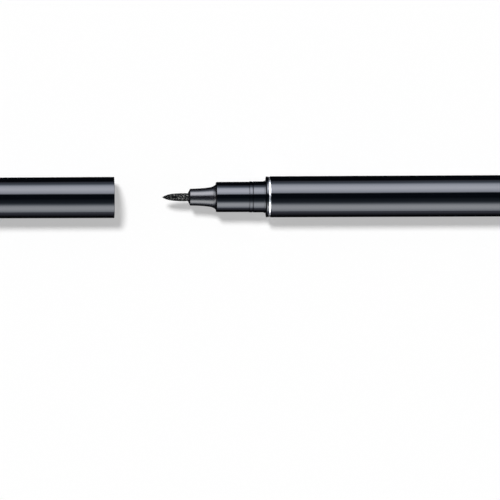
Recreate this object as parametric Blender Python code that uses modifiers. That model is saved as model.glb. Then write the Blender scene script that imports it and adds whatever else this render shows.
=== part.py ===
# Liquid liner pen with a brush tip, shown opened, with its cap pulled straight off.
# A glossy round barrel holds an ink tank and a mixing ball. A finned collector and a
# fibre wick carry the ink to the brush, and the cap has a liner and a sprung inner seal.
# Every round piece is turned about one axis. Along it, s runs from the barrel's front
# face towards the brush, and c from the cap's mouth towards the cap's closed end.
# The pen lies on its side: the brush points to -X, and the lowest facet is at Z = 0.

import math

import bmesh
import bpy
from mathutils import Matrix, Vector

MM = 0.001

# Barrel
barrel_diameter = 10.5 * MM
barrel_length = 86.3 * MM
barrel_wall = 0.9 * MM
barrel_draft = 0.1 * MM
rim_chamfer = 0.12 * MM

# Tail plug
tail_thickness = 1.2 * MM
tail_rounding = 0.45 * MM
tail_skirt_length = 4.6 * MM
tail_skirt_wall = 0.8 * MM
tail_rib_thickness = 0.6 * MM
tail_rib_recess = 0.9 * MM

# Snap ribs that hold the plug and the grip in grooves of the barrel
snap_width = 0.9 * MM
snap_height = 0.12 * MM
snap_setback = 2.3 * MM

# Ring and grip
ring_width = 0.53 * MM
ring_recess = 0.1 * MM
flange_thickness = 0.46 * MM
flange_recess = 0.03 * MM
ledge_length = 0.55 * MM
ledge_height = 0.18 * MM
ledge_fillet = 0.15 * MM
section_length = 12.75 * MM
section_wall = 0.76 * MM
band_offset = 3.5 * MM
band_width = 0.7 * MM
band_height = 0.09 * MM
band_groove = 0.2 * MM
spigot_length = 8.7 * MM
spigot_wall = 0.7 * MM

# Nozzle that the brush comes out of
nozzle_length = 7.13 * MM
nozzle_lip_wall = 1.04 * MM
nozzle_taper = 0.53 * MM
nozzle_taper_power = 2
nozzle_root = 0.63 * MM
nozzle_root_power = 14.5
nose_length = 0.64 * MM
nose_lip = 0.06 * MM
lip_length = 3.5 * MM

# Neck that snaps the nozzle into the grip's front wall
neck_wall = 0.72 * MM
neck_length = 2.0 * MM
grip_front_wall = 1.3 * MM

# Brush
brush_reach = 6.82 * MM
brush_diameter = 2.0 * MM
collar_overhang = 0.45 * MM
collar_thickness = 1.2 * MM
strand_count = 300
strand_diameter = 0.072 * MM
strand_root = 0.35 * MM
brush_fullness = 3.2
brush_gather = 0.55

# Wick, tip holder and collector
wick_diameter = 1.6 * MM
wick_reach = 5.2 * MM
holder_length = 2.9 * MM
core_wall = 0.62 * MM
fin_thickness = 0.4 * MM
fin_pitch = 1.1 * MM
fin_count_front = 9
fin_count_rear = 5
fin_setback = 0.7 * MM
ink_slot_width = 0.35 * MM
air_slot_width = 0.8 * MM
air_slot_stop = 0.1 * MM
tank_plug_length = 4.2 * MM
seal_bead_height = 0.06 * MM
collector_flange = 0.9 * MM

# Ink tank and mixing ball
tank_wall = 0.5 * MM
tank_gap = 0.2 * MM
ball_diameter = 3.5 * MM
ball_share = 0.66

# Cap
cap_wall = 0.75 * MM
cap_end_wall = 1.4 * MM
cap_rounding = 0.35 * MM
cap_draft = 0.08 * MM
cap_rib_length = 9.5 * MM
cap_rib_thickness = 0.7 * MM
cap_rib_plane_count = 3
liner_wall = 0.4 * MM
liner_lead = 0.35 * MM
detent_height = 0.05 * MM
detent_width = 0.5 * MM
pull_gap = 12.03 * MM

# Inner cap and its spring
seal_depth = 3.5 * MM
seal_wall = 0.75 * MM
seal_lead = 0.8 * MM
seal_rim = 0.8 * MM
brush_room = 0.65 * MM
brush_end_room = 0.92 * MM
inner_end_wall = 0.9 * MM
inner_spigot_length = 1.6 * MM
inner_spigot_step = 0.85 * MM
spring_length = 9.8 * MM
spring_wire = 0.4 * MM
spring_turn_count = 7

# Gaps between neighbours
seam_gap = 0.04 * MM
press_gap = 0.06 * MM
slide_gap = 0.12 * MM
seat_gap = 0.08 * MM

# Facets round each piece
round_steps = 32
small_steps = 24
core_steps = 16

# Radii, from the outside inwards
barrel_radius = barrel_diameter / 2
barrel_bore = barrel_radius - barrel_wall
tail_radius = barrel_radius + barrel_draft
flange_radius = barrel_radius - flange_recess
spigot_radius = barrel_bore - press_gap
spigot_bore = spigot_radius - spigot_wall
tank_radius = barrel_bore - tank_gap
tank_bore = tank_radius - tank_wall
shell_bore = barrel_radius - cap_wall
liner_radius = shell_bore - press_gap
liner_bore = liner_radius - liner_wall
band_radius = liner_bore - slide_gap
ledge_radius = band_radius + ledge_height
section_radius = band_radius - band_height
section_bore = section_radius - section_wall
ring_radius = barrel_radius - ring_recess
brush_radius = brush_diameter / 2
passage_radius = brush_radius + seat_gap
nozzle_radius = passage_radius + nozzle_lip_wall
collar_radius = brush_radius + collar_overhang
tip_bore = collar_radius + slide_gap
neck_radius = tip_bore + neck_wall
neck_seat = neck_radius + press_gap
wick_radius = wick_diameter / 2
wick_bore = wick_radius + seat_gap
core_radius = wick_bore + core_wall
seal_bore = nozzle_radius + slide_gap
seal_radius = seal_bore + seal_wall
inner_spigot_radius = seal_radius - inner_spigot_step
inner_flange_radius = shell_bore - slide_gap
brush_chamber = brush_radius + brush_room
spring_radius = inner_spigot_radius + seat_gap + spring_wire / 2

# Places along s, from the barrel's front face towards the brush
ring_front = seam_gap + ring_width
flange_rear = ring_front + seam_gap
flange_front = flange_rear + flange_thickness
ledge_front = flange_front + ledge_length
shoulder = flange_front + section_length
nozzle_front = shoulder + nozzle_length
brush_end = nozzle_front + brush_reach
band_rear = flange_front + band_offset
band_front = band_rear + band_width
nozzle_rear = shoulder + seam_gap
neck_rear = shoulder - neck_length
lip_rear = nozzle_front - lip_length
collar_front = lip_rear - seat_gap
collar_rear = collar_front - collar_thickness
holder_front = collar_rear - seat_gap
holder_rear = holder_front - holder_length
core_front = holder_rear - seat_gap
spigot_rear = flange_rear - spigot_length
collector_front = spigot_rear - seat_gap
tank_mouth = collector_front - collector_flange - seat_gap
plug_rear = tank_mouth - tank_plug_length
wick_rear = plug_rear - wick_reach
barrel_rear = -barrel_length
tail_front = barrel_rear - seam_gap
tail_end = tail_front - tail_thickness
skirt_front = tail_front + tail_skirt_length
tank_rear = skirt_front + seat_gap
snap_front = -snap_setback
snap_rear = barrel_rear + snap_setback

# Places along c, from the cap's mouth towards its closed end
seated_mouth = flange_front + seam_gap
liner_front = ledge_front - seated_mouth + slide_gap
rim_c = nozzle_front - seated_mouth - seal_depth
liner_end = rim_c - seat_gap
seal_step = nozzle_front - seated_mouth + seat_gap * 4
chamber_end = brush_end - seated_mouth + brush_end_room
inner_rear = chamber_end + inner_end_wall
spring_seat = inner_rear + spring_length
cap_inside = spring_seat + cap_rib_length
cap_length = cap_inside + cap_end_wall
detent_c = band_rear - detent_width - seated_mouth

# Where the pen and the pulled-off cap lie
rest_mouth = brush_end + pull_gap
axis_height = tail_radius * math.cos(math.pi / round_steps)
front_x = (tail_end + rest_mouth + cap_length) / 2
ball_offset = tank_bore * math.cos(math.pi / small_steps) - ball_diameter / 2 - seat_gap
ball_place = wick_rear + (tank_rear - wick_rear) * ball_share


def clear_scene():
    for obj in list(bpy.data.objects):
        bpy.data.objects.remove(obj, do_unlink=True)


def new_collection(name):
    collection = bpy.data.collections.new(name)
    bpy.context.scene.collection.children.link(collection)
    return collection


def new_material(name, colour, roughness, metallic=0.0):
    material = bpy.data.materials.new(name)
    material.use_nodes = True
    shader = material.node_tree.nodes["Principled BSDF"]
    shader.inputs["Base Color"].default_value = (*colour, 1.0)
    shader.inputs["Roughness"].default_value = roughness
    shader.inputs["Metallic"].default_value = metallic
    material.diffuse_color = (*colour, 1.0)
    return material


def new_axis(name, parent, place):
    axis = bpy.data.objects.new(name, None)
    axis.empty_display_size = barrel_diameter
    parts.objects.link(axis)
    axis.parent = parent
    axis.location = place
    return axis


def add_object(name, mesh, parent, material=None, collection=None):
    obj = bpy.data.objects.new(name, mesh)
    (collection or parts).objects.link(obj)
    obj.parent = parent
    if material:
        mesh.materials.append(material)
    return obj


# A cutter, or a shape that is joined into another, is a helper and not a part
def add_tool(name, mesh, parent):
    tool = add_object(name, mesh, parent, collection=tools)
    tool.display_type = "WIRE"
    tool.hide_render = True
    return tool


def add_boolean(obj, tool, operation):
    modifier = obj.modifiers.new(operation.title(), "BOOLEAN")
    modifier.operation = operation
    modifier.object = tool


# Swaps an object's modifiers for the plain mesh that they make, shaded smooth
def settled(obj):
    bpy.context.view_layer.update()
    graph = bpy.context.evaluated_depsgraph_get()
    mesh = bpy.data.meshes.new_from_object(obj.evaluated_get(graph))
    mesh.name = obj.name
    mesh.shade_smooth()
    mesh.set_sharp_from_angle(angle=math.radians(30))
    bpy.data.objects.remove(obj, do_unlink=True)
    return mesh


# A profile of (place, radius) points, run down its outer side, turned about the axis.
# A closed profile is a ring or tube. An open one starts and ends on the axis.
def turned_mesh(name, profile, steps, closed):
    turn = math.pi / steps  # puts a facet, not an edge, at the bottom
    points = [(r * math.cos(turn), r * math.sin(turn), place) for place, r in profile]
    edges = [(i, i + 1) for i in range(len(points) - 1)]
    if closed:
        edges.append((len(points) - 1, 0))
    mesh = bpy.data.meshes.new(name)
    mesh.from_pydata(points, edges, [])
    spun = bpy.data.objects.new(name + "_profile", mesh)
    tools.objects.link(spun)
    screw = spun.modifiers.new("Turn", "SCREW")
    screw.axis = "Z"
    screw.angle = 2 * math.pi
    screw.steps = steps
    screw.render_steps = steps
    screw.use_merge_vertices = True
    screw.merge_threshold = 0.000001
    return settled(spun)


def add_turned(name, profile, material, parent, steps=round_steps, closed=True):
    mesh = turned_mesh(name, profile, steps, closed)
    return add_object(name, mesh, parent, material)


def box_mesh(name, size, centre, turn=0.0):
    shape = bmesh.new()
    bmesh.ops.create_cube(shape, size=1.0)
    spin = Matrix.Rotation(turn, 4, "Z")
    shape.transform(spin @ Matrix.Translation(centre) @ Matrix.Diagonal((*size, 1.0)))
    mesh = bpy.data.meshes.new(name)
    shape.to_mesh(mesh)
    shape.free()
    return mesh


# A quarter-round corner between two straight stretches of a profile
def rounded(place, radius, size, start, steps=4):
    angles = [start - math.pi / 2 * i / steps for i in range(steps + 1)]
    return [(place + size * math.sin(a), radius + size * math.cos(a)) for a in angles]


# A rib that stands out of a turned face by its height, with sloping sides
def rib(place, width, base, height):
    slope = min(abs(height), width / 4)
    return [
        (place + width / 2, base),
        (place + width / 2 - slope, base + height),
        (place - width / 2 + slope, base + height),
        (place - width / 2, base),
    ]


def make_barrel(parent):
    groove = snap_height + press_gap
    profile = [
        (0, barrel_radius - rim_chamfer),
        (-rim_chamfer, barrel_radius),
        (barrel_rear + rim_chamfer, tail_radius),
        (barrel_rear, tail_radius - rim_chamfer),
        (barrel_rear, barrel_bore + rim_chamfer),
        (barrel_rear + rim_chamfer, barrel_bore),
        *reversed(rib(snap_rear, snap_width, barrel_bore, groove)),
        *reversed(rib(snap_front, snap_width, barrel_bore, groove)),
        (-rim_chamfer, barrel_bore),
        (0, barrel_bore + rim_chamfer),
    ]
    return add_turned("barrel", profile, gloss_black, parent)


def make_tail_plug(parent):
    bore = spigot_radius - tail_skirt_wall
    corner = rounded(tail_end + tail_rounding, tail_radius - tail_rounding, tail_rounding, 0.0)
    profile = [
        (skirt_front, bore),
        (skirt_front, spigot_radius - rim_chamfer),
        (skirt_front - rim_chamfer, spigot_radius),
        *rib(snap_rear, snap_width - 2 * press_gap, spigot_radius, snap_height),
        (tail_front, spigot_radius),
        (tail_front, tail_radius - rim_chamfer),
        (tail_front - rim_chamfer, tail_radius),
        *corner,
        (tail_end, 0),
        (tail_front, 0),
        (tail_front, bore),
    ]
    plug = add_turned("tail_plug", profile[1:] + profile[:1], gloss_black, parent)
    depth = tail_skirt_length - tail_rib_recess
    for i in range(2):
        size = (2 * bore + tail_skirt_wall, tail_rib_thickness, depth + rim_chamfer)
        centre = (0, 0, tail_front + depth / 2 - rim_chamfer / 2)
        mesh = box_mesh(f"tail_rib_{i}", size, centre, math.pi / 2 * i)
        add_boolean(plug, add_tool(f"tail_rib_{i}", mesh, parent), "UNION")
    return plug


def make_trim_ring(parent):
    bore = spigot_radius + press_gap
    profile = [
        (ring_front, ring_radius - rim_chamfer),
        (ring_front - rim_chamfer, ring_radius),
        (seam_gap + rim_chamfer, ring_radius),
        (seam_gap, ring_radius - rim_chamfer),
        (seam_gap, bore),
        (ring_front, bore),
    ]
    return add_turned("trim_ring", profile, chrome, parent)


def make_grip(parent):
    profile = [
        (shoulder, neck_seat),
        (shoulder, section_radius - rim_chamfer),
        (shoulder - rim_chamfer, section_radius),
        (band_front + band_groove, section_radius),
        (band_front + band_groove / 2, section_radius - band_groove / 4),
        (band_front, band_radius),
        (band_rear, band_radius),
        (band_rear - band_groove / 2, section_radius - band_groove / 4),
        (band_rear - band_groove, band_radius),
        (ledge_front, band_radius),
        (ledge_front, ledge_radius - rim_chamfer / 2),
        (ledge_front - rim_chamfer / 2, ledge_radius),
        (flange_front + ledge_fillet, ledge_radius),
        (flange_front, ledge_radius + ledge_fillet),
        (flange_front, flange_radius - rim_chamfer / 2),
        (flange_front - rim_chamfer / 2, flange_radius),
        (flange_rear + rim_chamfer / 2, flange_radius),
        (flange_rear, flange_radius - rim_chamfer / 2),
        (flange_rear, spigot_radius),
        *rib(snap_front, snap_width - 2 * press_gap, spigot_radius, snap_height),
        (spigot_rear + rim_chamfer, spigot_radius),
        (spigot_rear, spigot_radius - rim_chamfer),
        (spigot_rear, spigot_bore),
        (-fin_setback / 2, spigot_bore),
        (0, section_bore),
        (shoulder - grip_front_wall, section_bore),
        (shoulder - grip_front_wall, neck_seat),
    ]
    return add_turned("grip", profile, gloss_black, parent)


# The nozzle's outside widens backwards, first as a slow taper and then into a fillet
def nozzle_outline(steps=10):
    start = nozzle_front - nose_length - rim_chamfer
    run = start - nozzle_rear - rim_chamfer
    points = []
    for i in range(steps + 1):
        way = 1 - (1 - i / steps) ** 1.6
        taper = nozzle_taper * way**nozzle_taper_power
        root = nozzle_root * way**nozzle_root_power
        points.append((start - run * way, nozzle_radius + taper + root))
    return points


def make_nozzle(parent):
    root_radius = nozzle_radius + nozzle_taper + nozzle_root
    bead_width = snap_width / 2
    bead_place = shoulder - grip_front_wall - seam_gap - bead_width / 2
    profile = [
        (nozzle_front, passage_radius + nose_lip),
        (nozzle_front - nose_length + rim_chamfer, nozzle_radius - 2 * rim_chamfer),
        (nozzle_front - nose_length, nozzle_radius - rim_chamfer / 2),
        *nozzle_outline(),
        (nozzle_rear, root_radius - rim_chamfer),
        (nozzle_rear, neck_radius),
        *rib(bead_place, bead_width, neck_radius, snap_height),
        (neck_rear + rim_chamfer, neck_radius),
        (neck_rear, neck_radius - rim_chamfer),
        (neck_rear, tip_bore),
        (lip_rear, tip_bore),
        (lip_rear, passage_radius),
        (nozzle_front, passage_radius),
    ]
    return add_turned("nozzle", profile, nozzle_black, parent)


# How far along its free length, from 0 to 1, a strand ends that leaves the lip at this
# share of the brush's radius: where it meets the brush's rounded, pointed outline
def strand_end(share):
    low, high = 0.0, 1.0
    for _ in range(30):
        middle = (low + high) / 2
        inside = share * (1 - brush_gather * middle**2) < 1 - middle**brush_fullness
        low, high = (middle, high) if inside else (low, middle)
    return low


# Strands stand in a sunflower spiral, so they are evenly spaced, and gather to a point.
# Each is a thin three-sided rod that thins out and ends in a point of its own.
def strand_mesh():
    golden = math.pi * (3 - math.sqrt(5))
    spread = brush_radius - strand_diameter / 2
    points, faces = [], []
    for i in range(strand_count):
        share = math.sqrt((i + 0.5) / strand_count)
        end = strand_end(share)
        first = len(points)
        for way, thickness in ((-1, 1.0), (0.4 * end, 0.92), (0.76 * end, 0.6)):
            gather = 1 - brush_gather * max(way, 0) ** 2
            place = nozzle_front + brush_reach * way if way > 0 else collar_front - strand_root
            for corner in range(3):
                a = golden * i + 2 * math.pi * corner / 3
                half = strand_diameter / 2 * thickness * gather
                x = spread * share * gather * math.cos(golden * i) + half * math.cos(a)
                y = spread * share * gather * math.sin(golden * i) + half * math.sin(a)
                points.append((x, y, place))
        root = spread * share * (1 - brush_gather * end**2)
        tip = len(points)
        points.append(
            (root * math.cos(golden * i), root * math.sin(golden * i), nozzle_front + brush_reach * end)
        )
        faces.append((first + 2, first + 1, first))
        for a, b in ((0, 1), (1, 2), (2, 0)):
            for ring in (first, first + 3):
                faces.append((ring + a, ring + b, ring + b + 3, ring + a + 3))
            faces.append((first + 6 + a, first + 6 + b, tip))
    mesh = bpy.data.meshes.new("strands")
    mesh.from_pydata(points, [], faces)
    return mesh


def make_brush_tip(parent):
    profile = [
        (collar_front, 0),
        (collar_front, collar_radius - rim_chamfer),
        (collar_front - rim_chamfer, collar_radius),
        (collar_rear, collar_radius),
        (collar_rear, 0),
    ]
    brush = add_turned(
        "brush_tip", profile, fibre_black, parent, steps=small_steps, closed=False
    )
    add_boolean(brush, add_tool("strands", strand_mesh(), parent), "UNION")
    return brush


def make_tip_holder(parent):
    profile = [
        (holder_front, collar_radius - rim_chamfer),
        (holder_front - rim_chamfer, collar_radius),
        (holder_rear, collar_radius),
        (holder_rear, wick_bore),
        (holder_front, wick_bore),
    ]
    return add_turned("tip_holder", profile, natural_plastic, parent, small_steps)


def make_wick_rod(parent):
    end = holder_front
    profile = [
        (end, 0),
        (end, wick_radius - rim_chamfer),
        (end - rim_chamfer, wick_radius),
        (wick_rear + rim_chamfer, wick_radius),
        (wick_rear, wick_radius - rim_chamfer),
        (wick_rear, 0),
    ]
    return add_turned("wick_rod", profile, wick_fibre, parent, core_steps, closed=False)


# Fins of one stage of the collector, as the outer side of its profile
def fins(front, count, radius):
    points = []
    for i in range(count):
        top = front - fin_pitch * i
        bottom = top - fin_thickness
        points += [(top, core_radius), (top, radius), (bottom, radius), (bottom, core_radius)]
    return points


def make_collector(parent):
    front_fin = section_bore - slide_gap
    rear_fin = spigot_bore - slide_gap
    nose = min(core_radius, tip_bore - slide_gap)
    front_start = neck_rear - fin_setback / 3
    rear_start = -fin_setback
    plug_radius = tank_bore - press_gap - seal_bead_height
    plug_middle = (tank_mouth + plug_rear) / 2
    bead = tank_plug_length / 6
    profile = [
        (core_front, nose),
        (front_start + fin_setback / 2, nose),
        *fins(front_start, fin_count_front, front_fin),
        *fins(rear_start, fin_count_rear, rear_fin),
        (collector_front, core_radius),
        (collector_front, tank_radius),
        (collector_front - collector_flange, tank_radius),
        (collector_front - collector_flange, plug_radius),
        *rib(plug_middle + bead, bead, plug_radius, seal_bead_height),
        *rib(plug_middle - bead, bead, plug_radius, seal_bead_height),
        (plug_rear + rim_chamfer, plug_radius),
        (plug_rear, plug_radius - rim_chamfer),
        (plug_rear, wick_bore),
        (core_front, wick_bore),
    ]
    collector = add_turned("collector", profile, natural_plastic, parent, core_steps)
    reach = rear_fin + slide_gap
    deep = core_radius - core_wall / 2
    slots = (
        ("ink_slot", ink_slot_width, front_start + fin_setback / 4, collector_front, 0.0),
        ("air_slot", air_slot_width, front_start + fin_setback / 4, rear_start + air_slot_stop, math.pi),
    )
    for name, width, front, rear, turn in slots:
        size = (reach - deep, width, front - rear - seat_gap)
        centre = ((reach + deep) / 2, 0, (front + rear + seat_gap) / 2)
        mesh = box_mesh(name, size, centre, turn)
        add_boolean(collector, add_tool(name, mesh, parent), "DIFFERENCE")
    return collector


def make_ink_tank(parent):
    profile = [
        (tank_mouth, tank_radius),
        (tank_rear + tank_wall, tank_radius),
        (tank_rear, tank_radius - tank_wall),
        (tank_rear, 0),
        (tank_rear + tank_wall, 0),
        (tank_rear + tank_wall, tank_bore - tank_wall),
        (tank_rear + 2 * tank_wall, tank_bore),
        (tank_mouth, tank_bore),
    ]
    return add_turned("ink_tank", profile, tank_plastic, parent, small_steps)


def make_mixing_ball(parent):
    shape = bmesh.new()
    bmesh.ops.create_uvsphere(
        shape, u_segments=core_steps, v_segments=core_steps // 2, radius=ball_diameter / 2
    )
    mesh = bpy.data.meshes.new("mixing_ball")
    shape.to_mesh(mesh)
    shape.free()
    mesh.shade_smooth()
    return add_object("mixing_ball", mesh, parent, steel)


def make_cap_shell(parent):
    end_radius = barrel_radius - cap_draft
    corner = rounded(cap_length - cap_rounding, end_radius - cap_rounding, cap_rounding, math.pi / 2)
    profile = [
        (cap_length, 0),
        *corner,
        (rim_chamfer, barrel_radius),
        (0, barrel_radius - rim_chamfer),
        (0, shell_bore + rim_chamfer),
        (rim_chamfer, shell_bore),
        (cap_inside, shell_bore),
        (cap_inside, 0),
    ]
    shell = add_turned("cap_shell", profile, gloss_black, parent, closed=False)
    for i in range(cap_rib_plane_count):
        size = (2 * shell_bore + cap_wall, cap_rib_thickness, cap_rib_length + cap_end_wall / 2)
        centre = (0, 0, spring_seat + size[2] / 2)
        mesh = box_mesh(f"cap_rib_{i}", size, centre, math.pi / cap_rib_plane_count * i)
        add_boolean(shell, add_tool(f"cap_rib_{i}", mesh, parent), "UNION")
    return shell


def make_cap_liner(parent):
    profile = [
        (liner_end, liner_bore),
        (liner_end, liner_radius - rim_chamfer),
        (liner_end - rim_chamfer, liner_radius),
        (liner_front, liner_radius),
        (liner_front, liner_bore + liner_wall / 2),
        (liner_front + liner_lead, liner_bore),
        *reversed(rib(detent_c, detent_width, liner_bore, -detent_height)),
    ]
    return add_turned("cap_liner", profile, liner_plastic, parent)


def make_inner_cap(parent):
    rim = seal_bore + seal_lead * 0.8
    profile = [
        (inner_rear + inner_spigot_length, 0),
        (inner_rear + inner_spigot_length, inner_spigot_radius - rim_chamfer),
        (inner_rear + inner_spigot_length - rim_chamfer, inner_spigot_radius),
        (inner_rear, inner_spigot_radius),
        (inner_rear, seal_radius - rim_chamfer),
        (inner_rear - rim_chamfer, seal_radius),
        (rim_c + seal_rim, seal_radius),
        (rim_c + seal_rim, inner_flange_radius),
        (rim_c, inner_flange_radius),
        (rim_c, rim),
        (rim_c + seal_lead, seal_bore),
        (seal_step, seal_bore),
        (seal_step + seal_lead, brush_chamber),
        (chamber_end, brush_chamber - rim_chamfer),
        (chamber_end, 0),
    ]
    return add_turned("inner_cap", profile, seal_plastic, parent, small_steps, closed=False)


def make_cap_spring(parent, points_per_turn=10):
    start = inner_rear + seat_gap + spring_wire / 2
    run = spring_length - 2 * seat_gap - spring_wire
    count = spring_turn_count * points_per_turn
    curve = bpy.data.curves.new("cap_spring", "CURVE")
    curve.dimensions = "3D"
    curve.bevel_depth = spring_wire / 2
    curve.bevel_resolution = 1
    curve.use_fill_caps = True
    spline = curve.splines.new("POLY")
    spline.points.add(count)
    middles = []
    for i, point in enumerate(spline.points):
        a = 2 * math.pi * i / points_per_turn
        place = start + run * i / count
        middles.append(Vector((spring_radius * math.cos(a), spring_radius * math.sin(a), place)))
        point.co = (*middles[-1], 1)
    far = points_per_turn // 2
    gap = min((a - b).length for i, a in enumerate(middles) for b in middles[i + far :])
    print(f"cap_spring: least gap to itself {(gap - spring_wire) / MM:.2f} mm")
    return add_object("cap_spring", curve, parent, steel)


clear_scene()
parts = new_collection("liner_pen")
tools = new_collection("shaping_tools")
tools.hide_render = True

gloss_black = new_material("gloss_black", (0.004, 0.0045, 0.006), 0.12)
nozzle_black = new_material("nozzle_black", (0.006, 0.0065, 0.008), 0.22)
chrome = new_material("chrome", (0.86, 0.87, 0.89), 0.08, 1.0)
fibre_black = new_material("fibre_black", (0.03, 0.03, 0.03), 0.55)
natural_plastic = new_material("natural_plastic", (0.74, 0.73, 0.68), 0.4)
wick_fibre = new_material("wick_fibre", (0.1, 0.1, 0.11), 0.9)
tank_plastic = new_material("tank_plastic", (0.62, 0.63, 0.62), 0.3)
liner_plastic = new_material("liner_plastic", (0.02, 0.02, 0.022), 0.4)
seal_plastic = new_material("seal_plastic", (0.78, 0.78, 0.76), 0.45)
steel = new_material("steel", (0.62, 0.63, 0.65), 0.22, 1.0)

pen_axis = new_axis("pen_axis", None, (front_x, 0, axis_height))
pen_axis.rotation_euler = (0, -math.pi / 2, 0)
cap_axis = new_axis("cap_axis", pen_axis, (0, 0, rest_mouth))
inner_cap_axis = new_axis("inner_cap_axis", cap_axis, (0, 0, 0))
ball_axis = new_axis("ball_axis", pen_axis, (-ball_offset, 0, ball_place))

make_barrel(pen_axis)
make_tail_plug(pen_axis)
make_trim_ring(pen_axis)
make_grip(pen_axis)
make_nozzle(pen_axis)
make_brush_tip(pen_axis)
make_tip_holder(pen_axis)
make_wick_rod(pen_axis)
make_collector(pen_axis)
make_ink_tank(pen_axis)
make_mixing_ball(ball_axis)
make_cap_shell(cap_axis)
make_cap_liner(cap_axis)
make_cap_spring(cap_axis)
make_inner_cap(inner_cap_axis)
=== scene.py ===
# An opened liquid liner pen and its pulled-off cap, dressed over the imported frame.
# Sizes are in mm. The pen's places are counted from the barrel's front face towards the
# brush, and the cap's from its mouth towards its closed end. Both run towards -X.

import math

import bmesh
import bpy
from mathutils import Matrix, Vector


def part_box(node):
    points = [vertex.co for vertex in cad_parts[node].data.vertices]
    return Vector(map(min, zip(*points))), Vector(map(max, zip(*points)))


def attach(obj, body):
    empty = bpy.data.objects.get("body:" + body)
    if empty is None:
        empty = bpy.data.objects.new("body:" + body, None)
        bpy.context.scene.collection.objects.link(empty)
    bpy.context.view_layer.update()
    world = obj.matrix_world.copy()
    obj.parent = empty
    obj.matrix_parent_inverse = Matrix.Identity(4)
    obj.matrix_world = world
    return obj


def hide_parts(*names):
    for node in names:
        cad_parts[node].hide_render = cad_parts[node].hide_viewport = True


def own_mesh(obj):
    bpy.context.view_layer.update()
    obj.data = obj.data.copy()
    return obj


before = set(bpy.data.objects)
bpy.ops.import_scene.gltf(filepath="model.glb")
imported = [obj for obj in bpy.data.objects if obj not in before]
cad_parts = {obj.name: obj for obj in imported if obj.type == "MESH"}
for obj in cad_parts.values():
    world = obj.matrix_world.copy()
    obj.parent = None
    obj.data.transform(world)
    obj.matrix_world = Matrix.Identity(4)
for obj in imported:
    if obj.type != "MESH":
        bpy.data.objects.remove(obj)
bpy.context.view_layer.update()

mm = 0.001
barrelLow, barrelHigh = (Vector(corner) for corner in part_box("barrel"))
frontX = barrelLow.x  # the barrel's front face
mouthX = Vector(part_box("cap_shell")[1]).x  # the cap's mouth
axisZ = (barrelLow.z + barrelHigh.z) / 2
sharpAngle = math.radians(32)  # an edge that bends more than this is shaded sharp
collection = bpy.context.scene.collection
print(f"frame loaded: barrel front at {frontX / mm:.2f} mm, cap mouth at {mouthX / mm:.2f} mm")


# Objects and nodes

def newObject(name, mesh):
    obj = bpy.data.objects.new(name, mesh)
    collection.objects.link(obj)
    return obj


def objectFrom(name, shape):
    mesh = bpy.data.meshes.new(name)
    shape.to_mesh(mesh)
    shape.free()
    return newObject(name, mesh)


def smooth(mesh):
    mesh.shade_smooth()
    mesh.set_sharp_from_angle(angle=sharpAngle)


def put(tree, socket, value):
    if isinstance(value, bpy.types.NodeSocket):
        tree.links.new(value, socket)
    else:
        socket.default_value = value


def addNode(tree, kind, settings=None, **inputs):
    node = tree.nodes.new(kind)
    for name, value in (settings or {}).items():
        setattr(node, name, value)
    for name, value in inputs.items():
        put(tree, node.inputs[name.replace("_", " ")], value)
    return node


def calc(tree, operation, *values):
    node = tree.nodes.new("ShaderNodeMath")
    node.operation = operation
    for socket, value in zip(node.inputs, values):
        put(tree, socket, value)
    return node.outputs[0]


# Carries a field over from one range of numbers to another
def spread(tree, field, low, high, fromLow=0.3, fromHigh=0.7):
    node = addNode(
        tree, "ShaderNodeMapRange",
        Value=field, From_Min=fromLow, From_Max=fromHigh, To_Min=low, To_Max=high,
    )
    return node.outputs[0]


def newTree(name, inputs):
    tree = bpy.data.node_groups.new(name, "GeometryNodeTree")
    tree.interface.new_socket("Geometry", in_out="INPUT", socket_type="NodeSocketGeometry")
    for label, kind in inputs.items():
        tree.interface.new_socket(label, in_out="INPUT", socket_type="NodeSocket" + kind)
    tree.interface.new_socket("Geometry", in_out="OUTPUT", socket_type="NodeSocketGeometry")
    start = tree.nodes.new("NodeGroupInput")
    return tree, {socket.name: socket for socket in start.outputs if socket.name}


def closeTree(tree, geometry, finish):
    whole = addNode(tree, "GeometryNodeRealizeInstances", Geometry=geometry)
    painted = addNode(tree, "GeometryNodeSetMaterial", Geometry=whole.outputs[0], Material=finish)
    end = tree.nodes.new("NodeGroupOutput")
    tree.links.new(painted.outputs[0], end.inputs[0])


# Runs a tree on an object, and keeps the plain mesh that it makes
def grow(obj, tree, values):
    modifier = obj.modifiers.new(tree.name, "NODES")
    modifier.node_group = tree
    for item in tree.interface.items_tree:
        if item.in_out == "INPUT" and item.name in values:
            modifier[item.identifier] = values[item.name]
    graph = bpy.context.evaluated_depsgraph_get()
    mesh = bpy.data.meshes.new_from_object(obj.evaluated_get(graph))
    obj.modifiers.remove(modifier)
    oldMesh = obj.data
    obj.data = mesh
    bpy.data.meshes.remove(oldMesh)
    mesh.name = obj.name
    mesh.materials.clear()
    mesh.materials.append(values["Material"])
    smooth(mesh)
    return obj


# Turned pieces

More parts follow.
